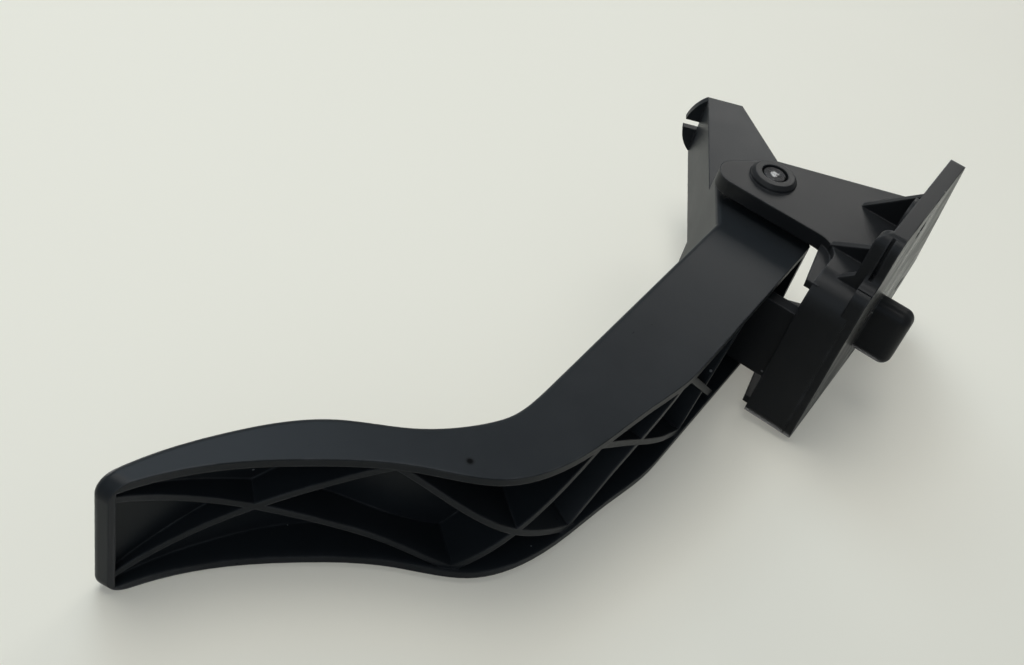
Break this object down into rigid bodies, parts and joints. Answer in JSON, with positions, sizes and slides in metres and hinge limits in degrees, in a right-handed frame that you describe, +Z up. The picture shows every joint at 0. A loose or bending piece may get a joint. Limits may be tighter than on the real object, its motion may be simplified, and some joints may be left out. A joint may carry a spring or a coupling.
{
  "type": "accelerator pedal",
  "caption": "Hanging cable accelerator pedal of black moulded plastic: a ribbed channel arm with a curved pad and split cable lever turns in a forked firewall bracket with a locating peg.",
  "frame": {"origin": "midway between the two fixing bolts, on the bracket's mounting face", "axes": "+X along the pivot axis to the driver's right, +Y into the firewall, +Z up; the pad hangs below on the -Y side"},
  "size_m": [0.0957, 0.1406, 0.3253],
  "materials": {
    "bracket_plastic": "satin moulded, lightly scuffed on the mounting face",
    "arm_plastic": "fine matte mould grain",
    "pin_steel": "plain turned, dull",
    "bush_plastic": "plain"
  },
  "bodies": {
    "bracket": {"mounting_bracket": "bracket_plastic", "pivot_pin": "pin_steel"},
    "arm": {"pedal_arm": "arm_plastic", "pivot_bushes": "bush_plastic"}
  },
  "joints": [
    {"name": "pedal_pivot", "type": "hinge", "parent": "bracket", "child": "arm", "pos_m": [-0.015, -0.0546, -0.0275], "axis": [1, 0, 0], "range_deg": [0, 11], "stiffness_Nm_per_rad": 4, "springref_deg": -20.05}
  ]
}
